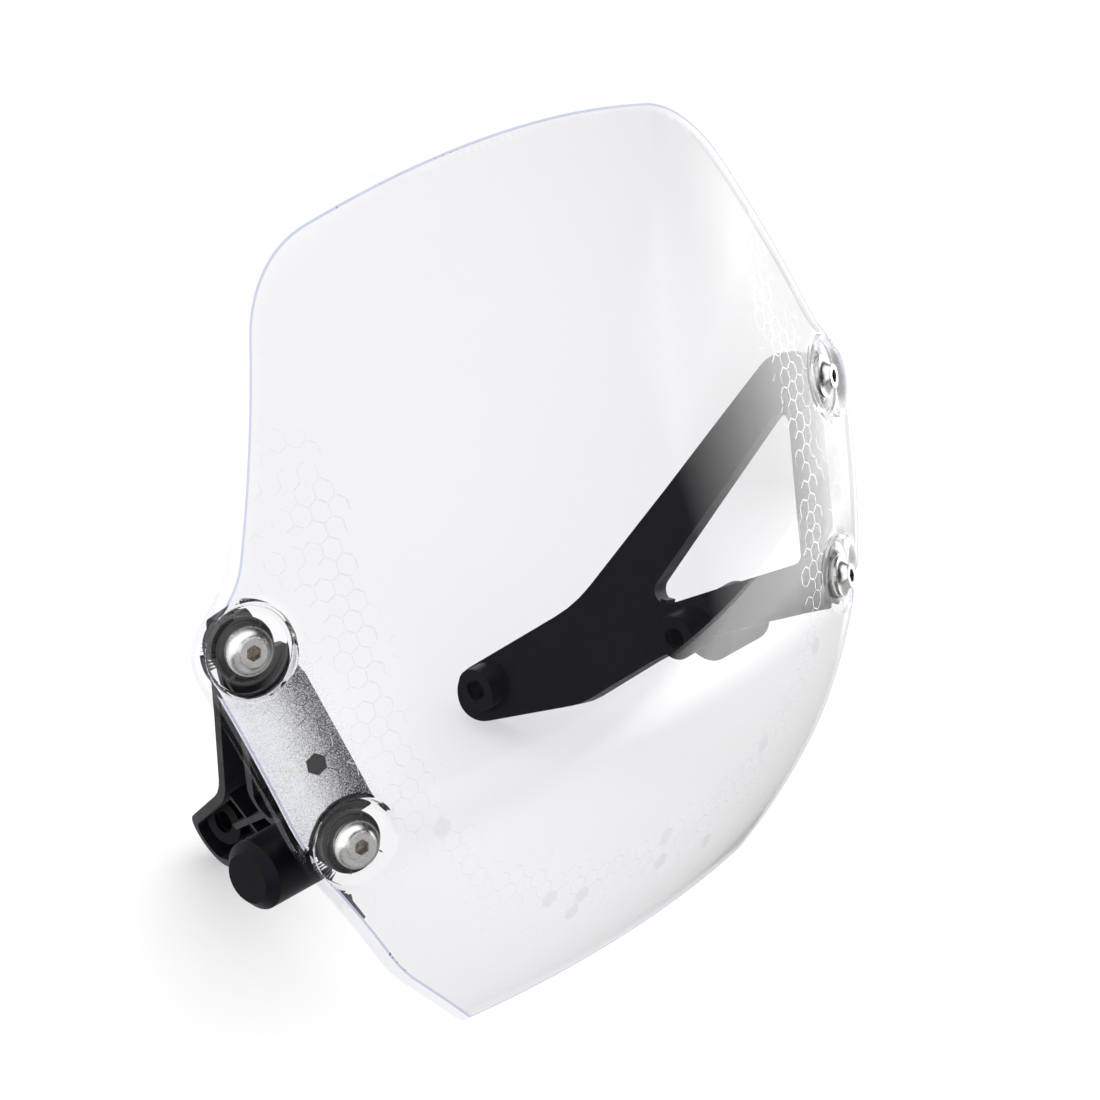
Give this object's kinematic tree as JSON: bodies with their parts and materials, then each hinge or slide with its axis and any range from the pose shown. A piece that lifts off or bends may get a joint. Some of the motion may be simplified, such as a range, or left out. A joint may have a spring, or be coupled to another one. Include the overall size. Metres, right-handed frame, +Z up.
{
  "type": "windshield screen",
  "caption": "Curved clear motorcycle windshield with recessed screw seats, carried by a pair of moulded triangular brackets whose bosses bolt to the motorcycle.",
  "frame": {"origin": "middle of the footprint on the floor: the middle plane, halfway between the foremost and rearmost points, at the height of the bottom edge's corners and the arm ends", "axes": "+X across the screen, to the left of a rider looking forwards past it; +Y from the screen towards the rider; +Z up"},
  "size_m": [0.2936, 0.1299, 0.2412],
  "materials": {
    "clear_sheet": "polished clear acrylic or polycarbonate, with a faint frosted honeycomb print",
    "black_plastic": "fine moulded grain, slight sheen",
    "stainless": "polished stainless",
    "nylon": "natural nylon",
    "rubber": "matt",
    "brass": "turned",
    "sleeve_steel": "blackened"
  },
  "bodies": {
    "root": {"screen": "clear_sheet", "bracket_left": "black_plastic", "bracket_right": "black_plastic", "screw_upper_left": "stainless", "screw_lower_left": "stainless", "screw_upper_right": "stainless", "screw_lower_right": "stainless", "washer_upper_left": "nylon", "washer_lower_left": "nylon", "washer_upper_right": "nylon", "washer_lower_right": "nylon", "grommet_upper_left": "rubber", "grommet_lower_left": "rubber", "grommet_upper_right": "rubber", "grommet_lower_right": "rubber", "insert_upper_left": "brass", "insert_lower_left": "brass", "insert_upper_right": "brass", "insert_lower_right": "brass", "sleeve_front_left": "sleeve_steel", "sleeve_rear_left": "sleeve_steel", "sleeve_front_right": "sleeve_steel", "sleeve_rear_right": "sleeve_steel"}
  },
  "joints": []
}
